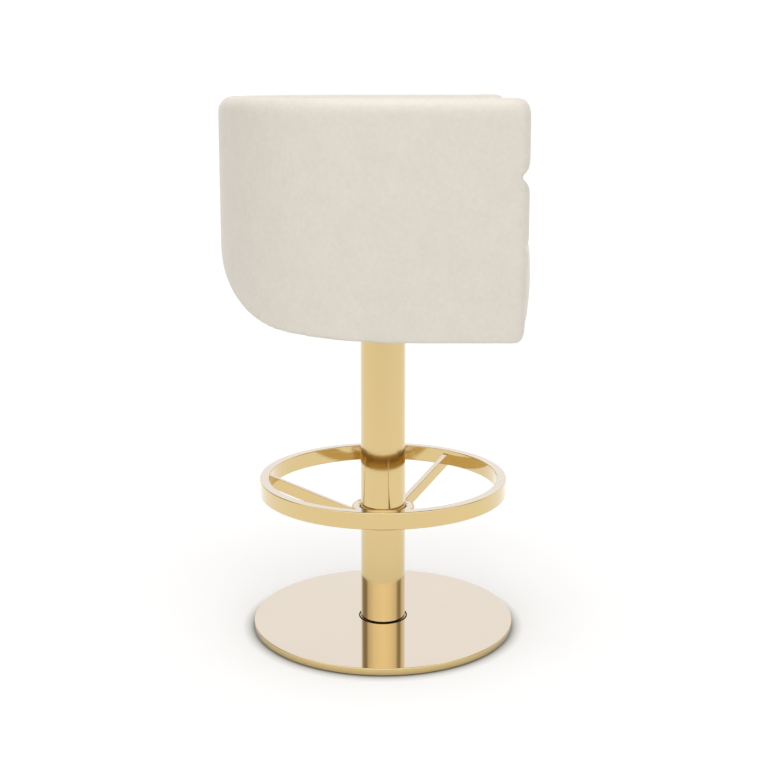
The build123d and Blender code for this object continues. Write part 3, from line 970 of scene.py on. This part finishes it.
class STOOL_OT_padded_bands(bpy.types.Operator):
    """Make the padded bands inside the tub, which end in creases at the arm fronts"""

    bl_idname = "stool.padded_bands"
    bl_label = "Padded bands"

    def execute(self, context):
        tub = context.scene.stool_tub
        lower_low, lower_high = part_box("lower_roll")
        base_low, base_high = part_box("base_band")
        arm = tub.arm_thickness
        crease = arm - tub.crease_depth
        back_face = 27.5 * MM
        gap = 0.3 * MM

        top = ROLL_HIGH.z
        rim_r = arm / 2
        spring = top - rim_r
        shelf = spring - 3 * MM
        turns = [pi / 2 * k / 10 for k in range(10)]
        rim = [(rim_r + rim_r * sin(t), spring + rim_r * cos(t)) for t in turns]
        inside = rim_bulge(lower_high.z + gap, spring, crease, arm)
        upper = [(back_face, lower_high.z + gap), (back_face, shelf), (rim_r, shelf)] + rim + inside
        self.band(context, "upper_band", upper, ["upper_roll"])

        middle = [(back_face, lower_low.z + gap), (back_face, lower_high.z - gap)]
        middle += side_bulge(lower_low.z + gap, lower_high.z - gap, crease, arm)
        self.band(context, "lower_band", middle, ["lower_roll"])

        foot = [(back_face, base_low.z), (back_face, base_high.z - gap)]
        foot += side_bulge(base_low.z, base_high.z - gap, crease, arm)
        self.band(context, "base_band_pad", foot, ["base_band"], clipped=True)
        return {"FINISHED"}

    def band(self, context, name, outline, replaces, clipped=False):
        tub = context.scene.stool_tub
        half, centre_x = tub_frame(context)
        front = ROLL_HIGH.x - tub.end_round
        bm = bmesh.new()
        first, last = tub_section(bm, outline, front - 12 * MM, half, centre_x)
        fill_loop(bm, first)
        fill_loop(bm, last)
        close_mesh(bm)
        shape = scratch_object("band_shape", bm)
        if clipped:
            inner = profile_solid(context, tub.cover_thickness + 9 * MM, half + SPARE)
            combine(shape, inner, "INTERSECT")
            discard(inner)
        skin(shape, 4 * MM)
        soften(shape, 8)
        mesh = shape.data
        discard(shape)
        piece = piece_from_mesh(name, mesh, ("velvet",), "seat", replaces)


def box_outline(inner, outer, low, high):
    """The four corners of an upright outline, as (inset, height)."""
    return [(inner, low), (inner, high), (outer, high), (outer, low)]


def skin(piece, voxel):
    """One closed skin over all the shapes in a mesh."""
    remesh = piece.modifiers.new("skin", "REMESH")
    remesh.mode = "VOXEL"
    remesh.voxel_size = voxel
    return apply_modifiers(piece)


def fill_with_foam(piece, pressure, swell, voxel):
    """Lets a closed form swell as cloth over foam, then keeps the result.

    Frame 20 is where the cloth has settled; no point may move farther than the swell.
    """
    skin(piece, voxel)
    start = [v.co.copy() for v in piece.data.vertices]
    cloth = piece.modifiers.new("cloth", "CLOTH")
    cloth.settings.use_pressure = True
    cloth.settings.uniform_pressure_force = pressure
    cloth.settings.effector_weights.gravity = 0.0
    cloth.settings.tension_stiffness = 15
    cloth.settings.compression_stiffness = 15
    cloth.settings.bending_stiffness = 0.5
    cloth.point_cache.frame_start = 1
    cloth.point_cache.frame_end = 20
    scene = bpy.context.scene
    for tick in range(1, 21):
        scene.frame_set(tick)
        bpy.context.view_layer.update()
    mesh = evaluated_mesh(piece)
    piece.modifiers.clear()
    scene.frame_set(1)
    for vert, origin in zip(mesh.vertices, start):
        move = vert.co - origin
        if move.length > swell:
            vert.co = origin + move.normalized() * swell
    piece.data = mesh
    return piece


def round_edges(piece, width, segments):
    """Rounds the sharp edges of a block."""
    bevel = piece.modifiers.new("edge", "BEVEL")
    bevel.width = width
    bevel.segments = segments
    bevel.limit_method = "ANGLE"
    bevel.angle_limit = radians(50)
    apply_modifiers(piece)


def soften(piece, iterations):
    """Smooths out the voxel steps."""
    modifier = piece.modifiers.new("soften", "SMOOTH")
    modifier.factor = 0.5
    modifier.iterations = iterations
    return apply_modifiers(piece)


def bowed_block(name, half, centre_x, side_x, front_x, low, high):
    """A tub-plan block whose front bows forward between the arms."""
    block = tub_block(name, half, centre_x, side_x, low, high)
    bm = bmesh.new()
    bm.from_mesh(block.data)
    discard(block)
    ahead = [e for e in bm.edges if all(v.co.x > side_x - 1 * MM for v in e.verts)]
    front = [e for e in ahead if abs(e.calc_length() - 2 * half) < 10 * MM]
    bmesh.ops.subdivide_edges(bm, edges=front, cuts=23, use_grid_fill=True)
    for vert in bm.verts:
        if vert.co.x > side_x - 1 * MM:
            vert.co.x += (front_x - side_x) * (1 - (vert.co.y / half) ** 2)
    close_mesh(bm)
    return bm


class STOOL_OT_seat_cushion(bpy.types.Operator):
    """Fill the seat cushion and sew its piping"""

    bl_idname = "stool.seat_cushion"
    bl_label = "Seat cushion"

    def execute(self, context):
        cushion = context.scene.stool_cushion
        centre_x = tub_frame(context)[1]
        low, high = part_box("seat_cushion")
        side = high.y - 1 * MM
        side_x = high.x - 22 * MM
        front_x = high.x - 4 * MM
        crown = 8 * MM
        bm = bowed_block("cushion", side, centre_x, side_x, front_x, low.z, high.z - 10 * MM)
        shape = scratch_object("shape", bm)
        round_edges(shape, 12 * MM, 4)
        fill_with_foam(shape, cushion.pressure, cushion.swell, cushion.voxel)
        soften(shape, 6)
        crown_cushion(shape.data, low.z + 20 * MM, (low + high) / 2, crown)
        mesh = shape.data
        discard(shape)
        piece = piece_from_mesh("seat_cushion_pad", mesh, ("velvet",), "seat", ["seat_cushion"])
        smooth = piece.modifiers.new("smooth", "SUBSURF")
        smooth.levels = 1
        smooth.render_levels = 1
        seam = 14 * MM
        for name, height in (("top", high.z - seam), ("bottom", low.z + seam)):
            piping("cushion_piping_" + name, piece, height, centre_x, cushion.piping)
        self.deck_cover(context)
        return {"FINISHED"}

    def deck_cover(self, context):
        """The velvet that lines the deck under the cushion, between the bands and the apron."""
        centre_x = tub_frame(context)[1]
        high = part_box("seat_deck")[1]
        half = high.y + 4 * MM
        front = high.x + 8 * MM
        block = tub_block("deck", half, centre_x, front, high.z - 3 * MM, high.z + 1 * MM)
        mesh = block.data
        discard(block)
        piece_from_mesh("deck_velvet", mesh, ("velvet",), "seat")


CROWN_REACH = 190 * MM


def crown_cushion(mesh, floor, middle, rise):
    """Raises the cushion's middle a little and leaves its underside."""
    for vert in mesh.vertices:
        if vert.co.z > floor:
            away = Vector((vert.co.x - middle.x, vert.co.y - middle.y)).length
            reach = min(1.0, away / CROWN_REACH)
            vert.co.z += rise * cos(pi / 2 * reach) ** 2


def piping(name, piece, height, centre_x, radius):
    """A covered cord sewn round a cushion: rays aimed inwards find where it lies."""
    tree = BVHTree.FromObject(piece, bpy.context.evaluated_depsgraph_get())
    points = []
    count = 120
    hub = Vector((centre_x + 50 * MM, 0, height))
    for k in range(count):
        turn = 2 * pi * k / count
        way = Vector((cos(turn), sin(turn), 0))
        place, normal, _, _ = tree.ray_cast(hub + way * 0.5, -way)
        if place is not None:
            points.append(place + normal * radius * 0.25)
    curve = bpy.data.curves.new(name, "CURVE")
    curve.dimensions = "3D"
    spline = curve.splines.new("POLY")
    spline.points.add(len(points) - 1)
    for point, place in zip(spline.points, points):
        point.co = (*place, 1)
    spline.use_cyclic_u = True
    curve.bevel_depth = radius
    curve.bevel_resolution = 3
    cord = bpy.data.objects.new(name, curve)
    bpy.context.scene.collection.objects.link(cord)
    mesh = evaluated_mesh(cord)
    discard(cord)
    piece_from_mesh(name, mesh, ("velvet",), "seat")


class STOOL_OT_front_apron(bpy.types.Operator):
    """Make the padded front under the cushion"""

    bl_idname = "stool.front_apron"
    bl_label = "Front apron"

    def execute(self, context):
        low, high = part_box("front_apron")
        half = high.y + 8 * MM
        foot = low.z + 2 * MM
        top = high.z + 4 * MM
        front = high.x - 24 * MM
        middle_x = (low.x + front) / 2
        bow = 19 * MM
        crown = 4 * MM
        taper = 3.5 * MM
        bm = bmesh.new()
        bmesh.ops.create_cube(bm, size=1.0)
        bmesh.ops.scale(bm, verts=bm.verts, vec=(front - low.x, 2 * half, top - foot))
        bmesh.ops.translate(bm, verts=bm.verts, vec=(middle_x, 0, (foot + top) / 2))
        bmesh.ops.subdivide_edges(bm, edges=bm.edges, cuts=23, use_grid_fill=True)
        for vert in bm.verts:
            if vert.co.x > middle_x:
                across = vert.co.y / half
                up = (vert.co.z - low.z) / (high.z - low.z) * 2 - 1
                vert.co.x += bow * (1 - across**2) + crown * (1 - abs(up) ** 2.5)
                vert.co.x -= taper * max(0.0, -up)
        close_mesh(bm)
        shape = scratch_object("apron_shape", bm)
        round_edges(shape, 8 * MM, 3)
        fill_with_foam(shape, 3.0, 3 * MM, 5 * MM)
        soften(shape, 10)
        mesh = shape.data
        discard(shape)
        piece = piece_from_mesh("front_apron_pad", mesh, ("velvet",), "seat", ["front_apron"])
        return {"FINISHED"}


# ------------------------------------------------------------------ operators: stage

# Brightness of the studio's walls once round it, from ahead by way of the left, the back and the right.
STUDIO_WALLS = (
    (0.00, 1.00),
    (0.13, 0.90),
    (0.23, 0.62),
    (0.27, 0.26),
    (0.34, 0.26),
    (0.42, 0.68),
    (0.68, 0.70),
    (0.72, 0.30),
    (0.76, 0.28),
    (0.81, 0.75),
    (0.90, 0.93),
    (1.00, 1.00),
)


class STOOL_OT_stage(bpy.types.Operator):
    """Set the floor, the soft light and the camera"""

    bl_idname = "stool.stage"
    bl_label = "Stage"

    def execute(self, context):
        self.floor()
        self.world(context)
        self.lights()
        self.camera(context)
        context.scene.view_settings.view_transform = "Standard"
        return {"FINISHED"}

    def floor(self):
        bm = bmesh.new()
        bmesh.ops.create_grid(bm, x_segments=1, y_segments=1, size=12.0)
        mesh = bpy.data.meshes.new("studio_floor")
        bm.to_mesh(mesh)
        bm.free()
        floor = bpy.data.objects.new("studio_floor", mesh)
        bpy.context.scene.collection.objects.link(floor)
        material, tree = new_material("studio_floor_white")
        place = add_node(tree, "ShaderNodeTexCoord")
        split = add_node(tree, "ShaderNodeSeparateXYZ", [("Vector", place, "Object")])
        ahead = add_node(tree, "ShaderNodeMapRange", [("Value", split, "Y")], interpolation_type="SMOOTHSTEP")
        ahead.inputs["From Min"].default_value = -3.0
        ahead.inputs["From Max"].default_value = -0.5
        tone = add_node(tree, "ShaderNodeMix", [("Factor", ahead, "Result")], data_type="RGBA")
        tone.inputs[6].default_value = (0.93, 0.92, 0.90, 1)
        tone.inputs[7].default_value = (0.96, 0.96, 0.96, 1)
        # Painted contact shadow: the floor's colour darkens towards black where the ambient-occlusion node
        # finds the base plate close by.
        near = add_node(tree, "ShaderNodeAmbientOcclusion", Distance=22 * MM)
        painted_contact_shadow = add_node(tree, "ShaderNodeMapRange", [("Value", near, "AO")])
        painted_contact_shadow.inputs["From Min"].default_value = 0.5
        painted_contact_shadow.inputs["To Min"].default_value = 0.35
        dark = add_node(tree, "ShaderNodeMix", [("Factor", painted_contact_shadow, "Result")], data_type="RGBA")
        dark.inputs[6].default_value = (0.02, 0.02, 0.02, 1)
        tree.links.new(tone.outputs[2], dark.inputs[7])
        shader = add_node(tree, "ShaderNodeBsdfPrincipled", Roughness=0.9)
        tree.links.new(dark.outputs[2], shader.inputs["Base Color"])
        shader.inputs["Specular IOR Level"].default_value = 0.0
        finish_material(tree, shader)
        mesh.materials.append(material)

    def world(self, context):
        """A soft studio: bright ahead, behind and above, with a dim gap at each side."""
        world = bpy.data.worlds.new("studio")
        world.use_nodes = True
        tree = world.node_tree
        tree.nodes.clear()
        place = add_node(tree, "ShaderNodeTexCoord")
        split = add_node(tree, "ShaderNodeSeparateXYZ", [("Vector", place, "Generated")])
        turn = add_node(tree, "ShaderNodeMath", [(0, split, "X"), (1, split, "Y")], operation="ARCTAN2")
        share = add_node(tree, "ShaderNodeMapRange", [("Value", turn, "Value")])
        share.inputs["From Min"].default_value = -pi
        share.inputs["From Max"].default_value = pi
        walls = add_node(tree, "ShaderNodeValToRGB", [("Fac", share, "Result")])
        ramp = walls.color_ramp
        for place_at, level in STUDIO_WALLS[1:-1]:
            ramp.elements.new(place_at)
        for element, (place_at, level) in zip(ramp.elements, STUDIO_WALLS):
            element.position = place_at
            warm = min(1.0, 0.7 + 0.5 * level)
            element.color = (level, level * warm**0.4, level * warm, 1)
        height = add_node(
            tree, "ShaderNodeMapRange", [("Value", split, "Z")], interpolation_type="SMOOTHSTEP"
        )
        height.inputs["From Min"].default_value = 0.55
        height.inputs["From Max"].default_value = 0.85
        room = add_node(tree, "ShaderNodeMix", [("Factor", height, "Result")], data_type="RGBA")
        tree.links.new(walls.outputs["Color"], room.inputs[6])
        room.inputs[7].default_value = (0.74, 0.74, 0.74, 1)
        light = add_node(tree, "ShaderNodeBackground", Strength=1.55)
        tree.links.new(room.outputs[2], light.inputs["Color"])
        backdrop = add_node(tree, "ShaderNodeBackground", Strength=1.05)
        backdrop.inputs["Color"].default_value = (1, 1, 1, 1)
        path = add_node(tree, "ShaderNodeLightPath")
        both = add_node(
            tree,
            "ShaderNodeMixShader",
            [(0, path, "Is Camera Ray"), (1, light, "Background"), (2, backdrop, "Background")],
        )
        output = tree.nodes.new("ShaderNodeOutputWorld")
        tree.links.new(both.outputs["Shader"], output.inputs["Surface"])
        context.scene.world = world

    def lights(self):
        self.softbox("top_light", (0.0, -0.25, 1.75), (0, -0.1, 0.9), 0.6, 3)

    def softbox(self, name, place, target, size, power):
        lamp = bpy.data.lights.new(name, "AREA")
        lamp.shape = "SQUARE"
        lamp.size = size
        lamp.energy = power
        light = bpy.data.objects.new(name, lamp)
        light.location = place
        light.rotation_euler = (Vector(target) - Vector(place)).to_track_quat("-Z", "Y").to_euler()
        bpy.context.scene.collection.objects.link(light)

    def camera(self, context):
        stage = context.scene.stool_stage
        data = bpy.data.cameras.new("camera")
        data.lens = stage.lens
        data.sensor_width = 36
        data.shift_y = stage.shift
        camera = bpy.data.objects.new("camera", data)
        camera.location = (0, -stage.camera_distance, stage.camera_height)
        camera.rotation_euler = Euler((pi / 2 - stage.camera_tilt, 0, 0))
        context.scene.collection.objects.link(camera)
        context.scene.camera = camera


# ------------------------------------------------------------------ add-on


OPERATORS = (
    STOOL_OT_finishes,
    STOOL_OT_base_plate,
    STOOL_OT_column,
    STOOL_OT_footrest,
    STOOL_OT_outer_cover,
    STOOL_OT_padded_bands,
    STOOL_OT_front_apron,
    STOOL_OT_seat_cushion,
    STOOL_OT_stage,
)


class STOOL_PT_panel(bpy.types.Panel):
    """Lists the stool's pieces in the sidebar"""

    bl_idname = "STOOL_PT_panel"
    bl_label = "Bar Stool"
    bl_space_type = "VIEW_3D"
    bl_region_type = "UI"
    bl_category = "Bar Stool"

    def draw(self, context):
        for operator in OPERATORS:
            self.layout.operator(operator.bl_idname)


def register():
    """Registers the settings, the operators and the panel."""
    for name, group in SETTINGS:
        bpy.utils.register_class(group)
        setattr(bpy.types.Scene, name, PointerProperty(type=group))
    for operator in OPERATORS:
        bpy.utils.register_class(operator)
    bpy.utils.register_class(STOOL_PT_panel)


def unregister():
    """Removes what register added."""
    bpy.utils.unregister_class(STOOL_PT_panel)
    for operator in reversed(OPERATORS):
        bpy.utils.unregister_class(operator)
    for name, group in reversed(SETTINGS):
        delattr(bpy.types.Scene, name)
        bpy.utils.unregister_class(group)


def main():
    """Builds the stool and its stage."""
    register()
    for operator in OPERATORS:
        family, name = operator.bl_idname.split(".")
        getattr(getattr(bpy.ops, family), name)()


if __name__ == "__main__":
    main()
